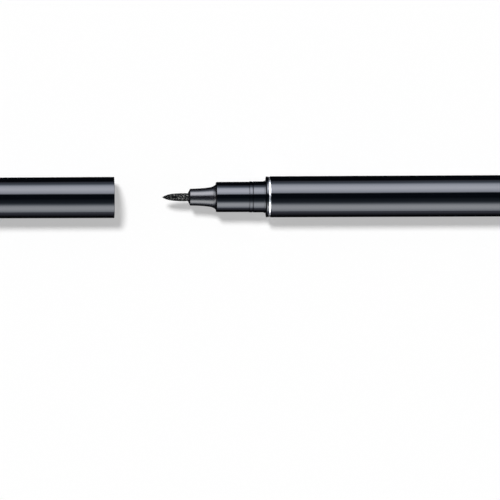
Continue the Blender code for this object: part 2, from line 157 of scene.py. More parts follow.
# Rounds the corners of an outline. Corners are (place, radius, rounding), and a rounding
# takes up at most a share of the runs beside it. A run longer than a few margins gets a
# point near both ends, so that its shading stays straight.
def softened(corners, closed, steps=5, mostShare=0.49, margin=0.05, longRun=6):
    points = []
    for i, (place, radius, rounding) in enumerate(corners):
        here = Vector((place, radius))
        if not rounding:
            points.append(here)
            continue
        back = Vector(corners[i - 1][:2]) - here
        ahead = Vector(corners[(i + 1) % len(corners)][:2]) - here
        bend = back.angle(ahead)
        reach = min(rounding / math.tan(bend / 2), back.length * mostShare, ahead.length * mostShare)
        size = reach * math.tan(bend / 2)
        inward = (back.normalized() + ahead.normalized()).normalized()
        middle = here + inward * size / math.sin(bend / 2)
        spoke = here + back.normalized() * reach - middle
        sweep = spoke.angle_signed(here + ahead.normalized() * reach - middle)
        for k in range(steps + 1):
            turn = -sweep * k / steps
            points.append(middle + Vector((
                spoke.x * math.cos(turn) - spoke.y * math.sin(turn),
                spoke.x * math.sin(turn) + spoke.y * math.cos(turn),
            )))
    if closed:
        points.append(points[0])
    padded = [points[0]]
    for start, end in zip(points, points[1:]):
        run = end - start
        if run.length > margin * longRun:
            padded += [start + run.normalized() * margin, end - run.normalized() * margin]
        padded.append(end)
    return padded


# Turns an outline, which stands in the XZ plane with its radius as Z, about the pen's axis
def makeTurnTree():
    tree, given = newTree("turnOutline", {
        "Segments": "Int", "Axis Height": "Float", "Weld": "Float", "Material": "Material",
    })
    outline = given["Geometry"]
    size = addNode(tree, "GeometryNodeAttributeDomainSize", Geometry=outline)
    columns = calc(tree, "ADD", given["Segments"], 1)
    grid = addNode(
        tree, "GeometryNodeMeshGrid", Vertices_X=size.outputs["Point Count"], Vertices_Y=columns
    )
    index = addNode(tree, "GeometryNodeInputIndex").outputs[0]
    row = calc(tree, "FLOOR", calc(tree, "DIVIDE", calc(tree, "ADD", index, 0.5), columns))
    column = calc(tree, "SUBTRACT", index, calc(tree, "MULTIPLY", row, columns))
    position = addNode(tree, "GeometryNodeInputPosition").outputs[0]
    sample = addNode(
        tree, "GeometryNodeSampleIndex", {"data_type": "FLOAT_VECTOR"},
        Geometry=outline, Value=position, Index=row,
    )
    parts = addNode(tree, "ShaderNodeSeparateXYZ", Vector=sample.outputs[0]).outputs
    angle = calc(tree, "MULTIPLY", calc(tree, "DIVIDE", column, given["Segments"]), math.tau)
    y = calc(tree, "MULTIPLY", parts["Z"], calc(tree, "SINE", angle))
    z = calc(tree, "MULTIPLY_ADD", parts["Z"], calc(tree, "COSINE", angle), given["Axis Height"])
    place = addNode(tree, "ShaderNodeCombineXYZ", X=parts["X"], Y=y, Z=z).outputs[0]
    turned = addNode(tree, "GeometryNodeSetPosition", Geometry=grid.outputs["Mesh"], Position=place)
    merged = addNode(
        tree, "GeometryNodeMergeByDistance", Geometry=turned.outputs[0], Distance=given["Weld"]
    )
    closeTree(tree, merged.outputs[0], given["Material"])
    return tree


def turnedPiece(name, corners, origin, finish, closed=True, segments=144, weld=0.0004):
    points = softened(corners, closed)
    mesh = bpy.data.meshes.new(name)
    mesh.from_pydata(
        [(origin - point.x * mm, 0, point.y * mm) for point in points],
        [(i, i + 1) for i in range(len(points) - 1)],
        [],
    )
    return grow(newObject(name, mesh), turnTree, {
        "Segments": segments, "Axis Height": axisZ, "Weld": weld * mm, "Material": finish,
    })


# A rib that stands out of a turned face, or a groove in it where its height is negative
def rib(place, width, base, height, rounding=0.03):
    slope = min(abs(height), width / 4)
    return [
        (place + width / 2, base, 0),
        (place + width / 2 - slope, base + height, rounding),
        (place - width / 2 + slope, base + height, rounding),
        (place - width / 2, base, 0),
    ]


# Joins a copy of a box, turned about the axis, to a piece, or cuts it out
def shapeWithBox(piece, size, centre, origin, turn, operation):
    shape = bmesh.new()
    bmesh.ops.create_cube(shape, size=1.0)
    shape.transform(
        Matrix.Translation((origin, 0, axisZ))
        @ Matrix.Rotation(turn, 4, "X")
        @ Matrix.Translation((-centre[0] * mm, centre[1] * mm, centre[2] * mm))
        @ Matrix.Diagonal((size[0] * mm, size[1] * mm, size[2] * mm, 1.0))
    )
    box = objectFrom("box", shape)
    box.data.materials.append(piece.data.materials[0])
    modifier = piece.modifiers.new("Box", "BOOLEAN")
    modifier.operation = operation
    modifier.object = box
    graph = bpy.context.evaluated_depsgraph_get()
    result = bpy.data.meshes.new_from_object(piece.evaluated_get(graph))
    piece.modifiers.remove(modifier)
    bpy.data.objects.remove(box, do_unlink=True)
    piece.data = result
    result.name = piece.name
    smooth(result)


# Hangs a piece on its body, and hides the frame's parts that it stands for
def settle(piece, body, slot, *nodes):
    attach(piece, body)
    if nodes:
        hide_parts(*nodes)


# Finishes. Tones are two colours and rough is two roughnesses, between which noise varies.

def newFinish(name, **settings):
    finish = bpy.data.materials.new(name)
    finish.use_nodes = True
    shader = finish.node_tree.nodes["Principled BSDF"]
    for label, value in settings.items():
        shader.inputs[label.replace("_", " ")].default_value = value
    return finish, finish.node_tree, shader


# Noise on the object's own coordinates. A stretch below 1 draws it out.
def noise(tree, scale, stretch=(1, 1, 1), detail=3.0, roughness=0.5):
    coordinates = addNode(tree, "ShaderNodeTexCoord").outputs["Object"]
    mapping = addNode(tree, "ShaderNodeMapping", Vector=coordinates, Scale=stretch)
    field = addNode(
        tree, "ShaderNodeTexNoise",
        Vector=mapping.outputs[0], Scale=scale, Detail=detail, Roughness=roughness,
    )
    return field.outputs["Fac"]


def colour(tree, shader, field, tones):
    blend = addNode(tree, "ShaderNodeMix", {"data_type": "RGBA"}, Factor=field)
    blend.inputs[6].default_value = (*tones[0], 1)
    blend.inputs[7].default_value = (*tones[1], 1)
    tree.links.new(blend.outputs[2], shader.inputs["Base Color"])


def roughen(tree, shader, field, rough, **source):
    put(tree, shader.inputs["Roughness"], spread(tree, field, *rough, **source))


# Fields are (height, strength, depth in m), and each lies on the one before
def bump(tree, shader, fields):
    normal = None
    for height, strength, depth in fields:
        node = addNode(tree, "ShaderNodeBump", Height=height, Strength=strength, Distance=depth)
        if normal:
            tree.links.new(normal, node.inputs["Normal"])
        normal = node.outputs[0]
    tree.links.new(normal, shader.inputs["Normal"])


# High gloss moulded black: slow waves from the mould, and faint handling marks
def makeGlossBlack(name, tones, rough, waveDepth, ior, sheen=(1, 1, 1)):
    finish, tree, shader = newFinish(name, IOR=ior, Specular_Tint=(*sheen, 1))
    waves = noise(tree, scale=90, stretch=(0.5, 1, 1), detail=1.0)
    marks = noise(tree, scale=2600, stretch=(0.25, 1, 1), detail=4.0, roughness=0.65)
    colour(tree, shader, waves, tones)
    roughen(tree, shader, marks, rough)
    bump(tree, shader, [(waves, 0.5, waveDepth), (marks, 0.1, 0.0000008)])
    return finish


# Each bristle has its own tone, and painted highlights lie on it in small pale patches, standing in
# for glints on the strands
def makeBristle(name, tones, rough):
    finish, tree, shader = newFinish(name, IOR=1.5, Specular_IOR_Level=0.12)
    patches = noise(tree, scale=3000, stretch=(1, 1.2, 1.2), detail=0.0)
    lot = addNode(tree, "ShaderNodeAttribute", {"attribute_name": "lot"}).outputs["Fac"]
    # Pale patches painted on the bristles as highlights
    glintPatches = spread(tree, patches, 0, 1, fromLow=0.6, fromHigh=0.65)
    own = spread(tree, lot, 0, 1, fromLow=0, fromHigh=0.7)
    colour(tree, shader, calc(tree, "MULTIPLY", glintPatches, own), tones)
    roughen(tree, shader, patches, rough, fromLow=0.46, fromHigh=0.6)
    return finish


# Undyed moulded plastic: slightly cloudy colour and a fine moulded skin
def makePlainPlastic(name, tones, rough):
    finish, tree, shader = newFinish(name, IOR=1.5)
    cloud = noise(tree, scale=260, stretch=(0.4, 1, 1))
    skin = noise(tree, scale=4000, roughness=0.6)
    colour(tree, shader, cloud, tones)
    roughen(tree, shader, skin, rough)
    bump(tree, shader, [(skin, 0.2, 0.000004)])
    return finish


# One grain gives the tones, the roughness and, where asked, the relief
def makeGrained(name, tones, rough, grain, relief=None, **settings):
    finish, tree, shader = newFinish(name, **settings)
    field = noise(tree, **grain)
    colour(tree, shader, field, tones)
    roughen(tree, shader, field, rough)
    if relief:
        bump(tree, shader, [(field, *relief)])
    return finish


deepBlack = (0.0008, 0.0012, 0.0022), (0.0014, 0.002, 0.0034)
glossBlack = makeGlossBlack("glossBlack", deepBlack, rough=(0.05, 0.075), waveDepth=0.00012, ior=1.5)
gripBlack = makeGlossBlack("gripBlack", deepBlack, rough=(0.05, 0.075), waveDepth=0.00012, ior=1.53)
nozzleBlack = makeGlossBlack(
    "nozzleBlack", ((0.005, 0.005, 0.007), (0.009, 0.009, 0.011)),
    rough=(0.19, 0.24), waveDepth=0.00008, ior=1.62, sheen=(1, 0.97, 0.92),
)
chromePlate = makeGrained(
    "chromePlate", ((0.92, 0.89, 0.83), (0.98, 0.95, 0.89)), rough=(0.27, 0.33),
    grain={"scale": 3500}, Metallic=1.0,
)
# Black bristles, with pale grey as the colour of the painted highlights
bristleBlack = makeBristle(
    "bristleBlack", ((0.001, 0.001, 0.001), (0.5, 0.5, 0.49)), rough=(0.65, 0.3)
)
naturalPlastic = makePlainPlastic(
    "naturalPlastic", ((0.68, 0.67, 0.61), (0.76, 0.75, 0.7)), rough=(0.35, 0.5)
)
tankPlastic = makePlainPlastic(
    "tankPlastic", ((0.56, 0.57, 0.57), (0.66, 0.67, 0.66)), rough=(0.25, 0.4)
)
linerPlastic = makePlainPlastic(
    "linerPlastic", ((0.014, 0.014, 0.016), (0.024, 0.024, 0.026)), rough=(0.35, 0.5)
)
sealPlastic = makePlainPlastic(
    "sealPlastic", ((0.74, 0.74, 0.72), (0.8, 0.8, 0.78)), rough=(0.4, 0.55)
)
wickFibre = makeGrained(
    "wickFibre", ((0.02, 0.02, 0.022), (0.2, 0.2, 0.21)), rough=(0.7, 0.95),
    grain={"scale": 9000, "stretch": (0.04, 1, 1), "detail": 4.0, "roughness": 0.7},
    relief=(0.6, 0.00003), IOR=1.4,
)
brightSteel = makeGrained(
    "brightSteel", ((0.52, 0.53, 0.55), (0.68, 0.69, 0.7)), rough=(0.14, 0.3),
    grain={"scale": 5000, "detail": 4.0, "roughness": 0.6}, relief=(0.15, 0.000003), Metallic=1.0,
)
turnTree = makeTurnTree()
print("finishes and the turning tree made")


# Barrel

barrel = {"radius": 5.25, "tailRadius": 5.35, "length": 86.3, "bore": 4.35, "rim": 0.1}
snap = {"width": 0.9, "height": 0.12, "clearance": 0.06, "setback": 2.3}


def makeBarrel():
    groove = snap["height"] + snap["clearance"]
    rear = -barrel["length"]
    corners = [
        (0, barrel["radius"], barrel["rim"]),
        (rear, barrel["tailRadius"], barrel["rim"]),
        (rear, barrel["bore"], barrel["rim"]),
        *reversed(rib(rear + snap["setback"], snap["width"], barrel["bore"], groove)),
        *reversed(rib(-snap["setback"], snap["width"], barrel["bore"], groove)),
        (0, barrel["bore"], barrel["rim"]),
    ]
    piece = turnedPiece("barrelTube", corners, frontX, glossBlack, segments=192)
    settle(piece, "pen", "gloss_black", "barrel")


# Tail plug

tail = {
    "gap": 0.04, "thickness": 1.2, "rounding": 0.45, "skirt": 4.6, "radius": 4.29, "bore": 3.49,
    "rib": 0.6, "ribSetback": 0.9, "ribSink": 0.1, "ribBite": 0.7,
}


def makeTailPlug():
    front = -barrel["length"] - tail["gap"]
    end = front - tail["thickness"]
    snapPlace = -barrel["length"] + snap["setback"]
    snapWidth = snap["width"] - 2 * snap["clearance"]
    corners = [
        (end, 0, 0),
        (front, 0, 0),
        (front, tail["bore"], 0.1),
        (front + tail["skirt"], tail["bore"], 0.05),
        (front + tail["skirt"], tail["radius"], 0.12),
        *rib(snapPlace, snapWidth, tail["radius"], snap["height"]),
        (front, tail["radius"], 0),
        (front, barrel["tailRadius"], 0.1),
        (end, barrel["tailRadius"], tail["rounding"]),
        (end, 0, 0),
    ]
    plug = turnedPiece("tailPlug", corners, frontX, glossBlack, closed=False, segments=192)
    ribLength = tail["skirt"] - tail["ribSetback"]
    size = (ribLength + tail["ribSink"], 2 * tail["bore"] + tail["ribBite"], tail["rib"])
    centre = (front + ribLength / 2 - tail["ribSink"] / 2, 0, 0)
    for turn in (0, math.pi / 2):
        shapeWithBox(plug, size, centre, frontX, turn, "UNION")
    settle(plug, "pen", "gloss_black", "tail_plug")


# Ring and grip

ring = {"front": 0.57, "rear": 0.03, "radius": 5.15, "bore": 4.35, "frontEdge": 0.2, "rearEdge": 0.06}
grip = {
    "flangeRear": 0.61, "flangeFront": 1.03, "flange": 5.22, "ledgeFront": 1.62, "ledge": 4.11,
    "grooveWidth": 0.28, "grooveFloor": 0.03, "shoulder": 13.82, "chamfer": 0.14,
    "radius": 3.85, "rearRadius": 3.87, "band": 3.96, "grooveDepth": 0.09,
    "rearGroove": 4.47, "rearGrooveWidth": 0.24, "frontGroove": 5.37, "frontGrooveWidth": 0.16,
    "spigot": 4.29, "spigotRear": -8.09, "spigotBore": 3.59, "boreStep": 0.35, "bore": 3.07,
    "frontWall": 1.3, "neckSeat": 2.35,
}


def makeTrimRing():
    corners = [
        (ring["front"], ring["radius"], ring["frontEdge"]),
        (ring["rear"], ring["radius"], ring["rearEdge"]),
        (ring["rear"], ring["bore"], 0),
        (ring["front"], ring["bore"], 0),
    ]
    piece = turnedPiece("brightRing", corners, frontX, chromePlate, segments=192)
    settle(piece, "pen", "chrome", "trim_ring")


def makeGrip():
    low = grip["rearRadius"] - grip["grooveDepth"]
    frontHalf, rearHalf = grip["frontGrooveWidth"] / 2, grip["rearGrooveWidth"] / 2
    snapWidth = snap["width"] - 2 * snap["clearance"]
    corners = [
        (grip["shoulder"], grip["neckSeat"], 0.05),
        (grip["shoulder"], grip["radius"] - grip["chamfer"], 0.02),
        (grip["shoulder"] - grip["chamfer"], grip["radius"], 0.03),
        (grip["frontGroove"] + frontHalf, grip["rearRadius"], 0.04),
        (grip["frontGroove"], low, 0.03),
        (grip["frontGroove"] - frontHalf, grip["band"], 0.04),
        (grip["rearGroove"] + rearHalf, grip["band"], 0.04),
        (grip["rearGroove"], low, 0.03),
        (grip["rearGroove"] - rearHalf, grip["band"], 0.04),
        (grip["ledgeFront"], grip["band"], 0.03),
        (grip["ledgeFront"], grip["ledge"], 0.07),
        (grip["flangeFront"] + grip["grooveWidth"], grip["ledge"], 0.02),
        (grip["flangeFront"] + grip["grooveFloor"], grip["ledge"] - grip["grooveWidth"], 0.02),
        (grip["flangeFront"], grip["ledge"] - grip["grooveWidth"], 0),
        (grip["flangeFront"], grip["flange"], 0.06),
        (grip["flangeRear"], grip["flange"], 0.07),
        (grip["flangeRear"], grip["spigot"], 0),
        *rib(-snap["setback"], snapWidth, grip["spigot"], snap["height"]),
        (grip["spigotRear"], grip["spigot"], 0.12),
        (grip["spigotRear"], grip["spigotBore"], 0.05),
        (-grip["boreStep"], grip["spigotBore"], 0.2),
        (0, grip["bore"], 0.2),
        (grip["shoulder"] - grip["frontWall"], grip["bore"], 0.15),
        (grip["shoulder"] - grip["frontWall"], grip["neckSeat"], 0.05),
    ]
    piece = turnedPiece("gripSection", corners, frontX, gripBlack, segments=176)
    settle(piece, "pen", "gloss_black", "grip")


# Nozzle

nozzle = {
    "front": 20.95, "lip": 1.14, "nose": 0.5, "noseEdge": 0.1, "radius": 2.16,
    "taper": 0.53, "taperPower": 2, "root": 0.52, "rootPower": 12, "rear": 13.86, "chamfer": 0.07,
    "neck": 2.29, "neckRear": 11.82, "beadPlace": 12.255, "beadWidth": 0.45,
    "bore": 1.57, "lipRear": 17.45, "lipBore": 1.08,
}


# The outside widens backwards, first as a slow taper and then into a fillet, towards which
# the points crowd
def widening(steps=22, span=0.9, crowding=1.4):
    start = nozzle["front"] - nozzle["nose"]
    run = start - nozzle["rear"] - nozzle["chamfer"]
    points = []
    for i in range(1, steps + 1):
        way = 1 - span * (1 - i / steps) ** crowding
        taper = nozzle["taper"] * way ** nozzle["taperPower"]
        fillet = nozzle["root"] * way ** nozzle["rootPower"]
        radius = nozzle["radius"] + taper + fillet
        points.append((start - run * way, radius, 0))
    return [*points, (nozzle["rear"], radius - nozzle["chamfer"], 0.02)]


def makeNozzle():
    corners = [
        (nozzle["front"], nozzle["lip"], 0.04),
        (nozzle["front"] - nozzle["nose"], nozzle["radius"], nozzle["noseEdge"]),
        *widening(),
        (nozzle["rear"], nozzle["neck"], 0.05),
        *rib(nozzle["beadPlace"], nozzle["beadWidth"], nozzle["neck"], snap["height"]),
        (nozzle["neckRear"], nozzle["neck"], 0.12),
        (nozzle["neckRear"], nozzle["bore"], 0.05),
        (nozzle["lipRear"], nozzle["bore"], 0.05),
        (nozzle["lipRear"], nozzle["lipBore"], 0.05),
        (nozzle["front"], nozzle["lipBore"], 0.06),
    ]
    piece = turnedPiece("nozzleCone", corners, frontX, nozzleBlack)
    settle(piece, "pen", "nozzle_black", "nozzle")


# Brush

brush = {
    "radius": 1.0, "free": 6.82, "collarFront": 17.37, "collarRear": 16.17, "collar": 1.45,
    "rootOverlap": 0.3, "bristles": 1400, "rings": 15, "sides": 4, "seed": 7,
    "bristle": 0.024, "thinning": 0.8, "thinningPower": 3.0,
    "gather": 0.5, "gatherPower": 2.2, "bulge": 0.06, "bulgeRise": 5.0, "bulgeEase": 0.5,
    # Shares of the free length that the outer bristles lack
    "evenLoss": 0.15, "roundLoss": 0.09, "edgeLoss": 0.15, "edgePower": 12.0, "raggedness": 0.05,
    # Kinks rise from the root, and calm down towards the point
    "kink": 0.24, "kinksPerMetre": 1100.0, "kinkLots": 80.0, "kinkRise": 6.0, "kinkEase": 0.2,
    "kinkCalm": 0.65, "calmPower": 3.0,
}


# Bristles stand in an even spiral, gather to a point and are kinked. Outer ones end earlier.
def makeBristleTree():
    tree, given = newTree("bristleBundle", {
        "Count": "Int", "Rings": "Int", "Seed": "Int", "Bundle Radius": "Float",
        "Free Length": "Float", "Root Length": "Float", "Bristle Radius": "Float",
        "Gather": "Float", "Bulge": "Float", "Kink": "Float", "Lip": "Vector", "Material": "Material",
    })

    def inverse(value, factor):
        return calc(tree, "SUBTRACT", 1.0, calc(tree, "MULTIPLY", value, factor))

    def power(value, exponent):
        return calc(tree, "POWER", value, exponent)

    def named(name):
        settings = {"data_type": "FLOAT"}
        node = addNode(tree, "GeometryNodeInputNamedAttribute", settings, Name=name)
        return node.outputs["Attribute"]

    index = addNode(tree, "GeometryNodeInputIndex").outputs[0]
    points = addNode(tree, "GeometryNodePoints", Count=given["Count"]).outputs[0]
    share = calc(tree, "SQRT", calc(tree, "DIVIDE", calc(tree, "ADD", index, 0.5), given["Count"]))
    turn = calc(tree, "MULTIPLY", index, math.pi * (3 - math.sqrt(5)))  # the golden angle
    lot = addNode(
        tree, "FunctionNodeRandomValue", {"data_type": "FLOAT"}, ID=index, Seed=given["Seed"]
    ).outputs[1]
    for name, value in (("share", share), ("turn", turn), ("lot", lot)):
        points = addNode(
            tree, "GeometryNodeStoreNamedAttribute", {"data_type": "FLOAT", "domain": "POINT"},
            Geometry=points, Name=name, Value=value,
        ).outputs[0]
    line = addNode(tree, "GeometryNodeCurvePrimitiveLine")
    steps = addNode(tree, "GeometryNodeResampleCurve", Curve=line.outputs[0], Count=given["Rings"])
    copies = addNode(tree, "GeometryNodeInstanceOnPoints", Points=points, Instance=steps.outputs[0])
    strands = addNode(tree, "GeometryNodeRealizeInstances", Geometry=copies.outputs[0]).outputs[0]

    share, turn, lot = named("share"), named("turn"), named("lot")
    way = addNode(tree, "GeometryNodeSplineParameter").outputs["Factor"]
    even = calc(tree, "MULTIPLY", share, brush["evenLoss"])
    bent = calc(tree, "MULTIPLY_ADD", power(share, brush["edgePower"]), brush["edgeLoss"], even)
    early = calc(
        tree, "MULTIPLY_ADD", calc(tree, "MULTIPLY", share, share), brush["roundLoss"], bent
    )
    ragged = calc(tree, "MULTIPLY", lot, brush["raggedness"])
    end = calc(tree, "SUBTRACT", 1.0, calc(tree, "ADD", early, ragged))
    length = calc(tree, "MULTIPLY_ADD", given["Free Length"], end, given["Root Length"])
    out = calc(tree, "SUBTRACT", calc(tree, "MULTIPLY", way, length), given["Root Length"])
    free = calc(tree, "DIVIDE", calc(tree, "MAXIMUM", out, 0.0), given["Free Length"])
    gathered = inverse(given["Gather"], power(free, brush["gatherPower"]))
    rise = calc(tree, "MULTIPLY", free, brush["bulgeRise"])
    swollen = calc(tree, "SMOOTH_MIN", rise, 1.0, brush["bulgeEase"])
    drawn = calc(tree, "MULTIPLY_ADD", swollen, given["Bulge"], gathered)
    radius = calc(tree, "MULTIPLY", calc(tree, "MULTIPLY", given["Bundle Radius"], share), drawn)

    along = calc(tree, "MULTIPLY", out, brush["kinksPerMetre"])
    unlike = calc(tree, "MULTIPLY", lot, brush["kinkLots"])
    field = addNode(tree, "ShaderNodeCombineXYZ", X=along, Y=unlike, Z=share).outputs[0]
    wobble = addNode(tree, "ShaderNodeTexNoise", Vector=field, Scale=1.0, Detail=1.0)
    sideways = addNode(tree, "ShaderNodeSeparateXYZ", Vector=wobble.outputs["Color"]).outputs
    calm = inverse(power(free, brush["calmPower"]), brush["kinkCalm"])
    kinkStart = calc(tree, "MULTIPLY", free, brush["kinkRise"])
    looseness = calc(tree, "SMOOTH_MIN", kinkStart, calm, brush["kinkEase"])
    loose = calc(tree, "MULTIPLY", given["Kink"], looseness)
    kinkY = calc(tree, "MULTIPLY", calc(tree, "SUBTRACT", sideways["X"], 0.5), loose)
    kinkZ = calc(tree, "MULTIPLY", calc(tree, "SUBTRACT", sideways["Y"], 0.5), loose)

    lip = addNode(tree, "ShaderNodeSeparateXYZ", Vector=given["Lip"]).outputs
    x = calc(tree, "SUBTRACT", lip["X"], out)
    y = calc(tree, "ADD", calc(tree, "MULTIPLY", radius, calc(tree, "COSINE", turn)), kinkY)
    height = calc(tree, "MULTIPLY_ADD", radius, calc(tree, "SINE", turn), lip["Z"])
    z = calc(tree, "ADD", height, kinkZ)
    place = addNode(tree, "ShaderNodeCombineXYZ", X=x, Y=y, Z=z).outputs[0]
    strands = addNode(tree, "GeometryNodeSetPosition", Geometry=strands, Position=place).outputs[0]
    thin = inverse(power(way, brush["thinningPower"]), brush["thinning"])
    side = addNode(
        tree, "GeometryNodeCurvePrimitiveCircle",
        Resolution=brush["sides"], Radius=given["Bristle Radius"],
    ).outputs[0]
    skin = addNode(
        tree, "GeometryNodeCurveToMesh",
        Curve=strands, Profile_Curve=side, Scale=thin, Fill_Caps=True,
    )
    closeTree(tree, skin.outputs[0], given["Material"])
    return tree


def makeBrush():
    bristles = newObject("brushBristles", bpy.data.meshes.new("brushBristles"))
    grow(bristles, makeBristleTree(), {
        "Count": brush["bristles"], "Rings": brush["rings"], "Seed": brush["seed"],
        "Bundle Radius": (brush["radius"] - brush["bristle"]) * mm,
        "Free Length": brush["free"] * mm,
        "Root Length": (nozzle["front"] - brush["collarFront"] + brush["rootOverlap"]) * mm,
        "Bristle Radius": brush["bristle"] * mm,
        "Gather": brush["gather"], "Bulge": brush["bulge"], "Kink": brush["kink"] * mm,
        "Lip": (frontX - nozzle["front"] * mm, 0, axisZ), "Material": bristleBlack,
    })
    settle(bristles, "pen", "fibre_black", "brush_tip")
    corners = [
        (brush["collarFront"], 0, 0),
        (brush["collarFront"], brush["collar"], 0.12),
        (brush["collarRear"], brush["collar"], 0.05),
        (brush["collarRear"], 0, 0),
    ]
    collar = turnedPiece("brushCollar", corners, frontX, bristleBlack, closed=False, segments=96)
    settle(collar, "pen", "fibre_black")


makeBarrel()
makeTailPlug()
makeTrimRing()
makeGrip()
makeNozzle()
makeBrush()
print("barrel, tail plug, ring, grip, nozzle and brush made")


# Tip holder and wick

holder = {"front": 16.09, "rear": 13.19, "radius": 1.45, "bore": 0.88}
wick = {"front": 16.09, "rear": -18.55, "radius": 0.8}


def makeTipHolder():
    corners = [
        (holder["front"], holder["radius"], 0.12),
        (holder["rear"], holder["radius"], 0.05),
        (holder["rear"], holder["bore"], 0.05),
        (holder["front"], holder["bore"], 0.05),
    ]
    piece = turnedPiece("tipHolder", corners, frontX, naturalPlastic, segments=96)
    settle(piece, "pen", "natural_plastic", "tip_holder")


def makeWick():
    corners = [
        (wick["front"], 0, 0),
        (wick["front"], wick["radius"], 0.12),
        (wick["rear"], wick["radius"], 0.12),
        (wick["rear"], 0, 0),
    ]
    piece = turnedPiece("wickRod", corners, frontX, wickFibre, closed=False, segments=64)
    settle(piece, "pen", "wick_fibre", "wick_rod")


# Collector

collector = {
    "front": 13.11, "core": 1.5, "bore": 0.88, "flangeFront": -8.17, "flangeRear": -9.07,
    "flange": 4.15, "plug": 3.53, "bead": 0.06, "beadWidth": 0.7, "beadOffset": 0.7, "rear": -13.35,
    "fin": 0.4, "finSink": 0.06, "pitch": 1.1, "frontFins": 9, "frontStart": 11.587,
    "frontRadius": 2.95, "rearFins": 5, "rearStart": -0.7, "rearRadius": 3.47,
}
slots = {
    "finLength": 30, "finWidth": 0.8, "finDepth": 2, "finInset": 0.5,
    "coreWidth": 0.35, "coreDepth": 0.5, "coreMargin": 0.1,
}


# Copies a fin along the pen, and cuts a slot through all the copies
def makeFinTree():
    tree, given = newTree("finStack", {
        "Count": "Int", "Pitch": "Float", "Slot Size": "Vector", "Slot Centre": "Vector",
        "Material": "Material",
    })
    step = addNode(tree, "ShaderNodeCombineXYZ", X=given["Pitch"]).outputs[0]
    line = addNode(tree, "GeometryNodeMeshLine", {"mode": "OFFSET"}, Count=given["Count"], Offset=step)
    copies = addNode(
        tree, "GeometryNodeInstanceOnPoints", Points=line.outputs[0], Instance=given["Geometry"]
    )
    whole = addNode(tree, "GeometryNodeRealizeInstances", Geometry=copies.outputs[0])
    box = addNode(tree, "GeometryNodeMeshCube", Size=given["Slot Size"]).outputs[0]
    moved = addNode(tree, "GeometryNodeTransform", Geometry=box, Translation=given["Slot Centre"])
    cut = addNode(tree, "GeometryNodeMeshBoolean", {"operation": "DIFFERENCE"})
    tree.links.new(whole.outputs[0], cut.inputs[0])
    tree.links.new(moved.outputs[0], cut.inputs[1])
    closeTree(tree, cut.outputs[0], given["Material"])
    return tree


def makeFins(tree, name, start, count, radius):
    end = start - collector["fin"]
    inner = collector["core"] - collector["finSink"]
    corners = [(start, radius, 0.08), (end, radius, 0.08), (end, inner, 0), (start, inner, 0)]
    piece = turnedPiece(name, corners, frontX, naturalPlastic, segments=96)
    grow(piece, tree, {
        "Count": count, "Pitch": collector["pitch"] * mm,
        "Slot Size": (slots["finLength"] * mm, slots["finWidth"] * mm, slots["finDepth"] * mm),
        "Slot Centre": (frontX, 0, axisZ - (radius - slots["finInset"]) * mm),
        "Material": naturalPlastic,
    })
    settle(piece, "pen", "natural_plastic")


def makeCollector():
    middle = (collector["flangeRear"] + collector["rear"]) / 2
    bead = (collector["beadWidth"], collector["plug"], collector["bead"])
    corners = [
        (collector["front"], collector["core"], 0.1),
        (collector["flangeFront"], collector["core"], 0.1),
        (collector["flangeFront"], collector["flange"], 0.08),
        (collector["flangeRear"], collector["flange"], 0.05),
        (collector["flangeRear"], collector["plug"], 0.05),
        *rib(middle + collector["beadOffset"], *bead),
        *rib(middle - collector["beadOffset"], *bead),
        (collector["rear"], collector["plug"], 0.12),
        (collector["rear"], collector["bore"], 0.05),
        (collector["front"], collector["bore"], 0.05),
    ]
    core = turnedPiece("collectorCore", corners, frontX, naturalPlastic, segments=96)
    slotFront = collector["frontStart"] - slots["coreMargin"]
    slotLength = slotFront - collector["flangeFront"] - slots["coreMargin"]
    size = (slotLength, slots["coreWidth"], slots["coreDepth"])
    centre = (slotFront - slotLength / 2, 0, collector["core"])
    shapeWithBox(core, size, centre, frontX, 0, "DIFFERENCE")
    settle(core, "pen", "natural_plastic", "collector")
    tree = makeFinTree()
    for name in ("front", "rear"):
        start, count = collector[name + "Start"], collector[name + "Fins"]
        makeFins(tree, name + "Fins", start, count, collector[name + "Radius"])


# Ink tank and mixing ball

tank = {"mouth": -9.15, "rear": -81.66, "radius": 4.15, "wall": 0.5}
ball = {"radius": 1.75, "steps": 32}


def makeTank():
    inside = tank["radius"] - tank["wall"]
    corners = [
        (tank["rear"] + tank["wall"], 0, 0),
        (tank["rear"] + tank["wall"], inside, 0.5),
        (tank["mouth"], inside, 0.08),
        (tank["mouth"], tank["radius"], 0.08),
        (tank["rear"], tank["radius"], 0.6),
        (tank["rear"], 0, 0),
    ]
    piece = turnedPiece("inkTank", corners, frontX, tankPlastic, closed=False, segments=128)
    settle(piece, "pen", "tank_plastic", "ink_tank")


def makeBall():
    low, high = (Vector(corner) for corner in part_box("mixing_ball"))
    centre = (low + high) / 2
    angles = [math.pi * i / ball["steps"] for i in range(ball["steps"])]
    corners = [
        (ball["radius"] * math.cos(angle), ball["radius"] * math.sin(angle), 0) for angle in angles
    ]
    corners.append((-ball["radius"], 0, 0))
    piece = turnedPiece("mixingBall", corners, centre.x, brightSteel, closed=False, segments=64)
    piece.data.transform(Matrix.Translation((0, centre.y, centre.z - axisZ)))
    settle(piece, "ball", "steel", "mixing_ball")


makeTipHolder()
makeWick()
makeCollector()
makeTank()
makeBall()
print("inside of the pen made")


# Cap's shell and liner

cap = {
    "length": 49.18, "inside": 47.78, "radius": 5.25, "endRadius": 5.17, "bore": 4.5,
    "rounding": 0.3, "rim": 0.12,
}
capRibs = {"count": 3, "seat": 38.28, "thickness": 0.7, "sink": 0.5, "bite": 0.6}
liner = {
    "front": 0.63, "end": 16.26, "radius": 4.44, "bore": 4.04, "lead": 0.35, "leadDepth": 0.2,
    "detent": 2.96, "detentWidth": 0.5, "detentHeight": 0.05,
}


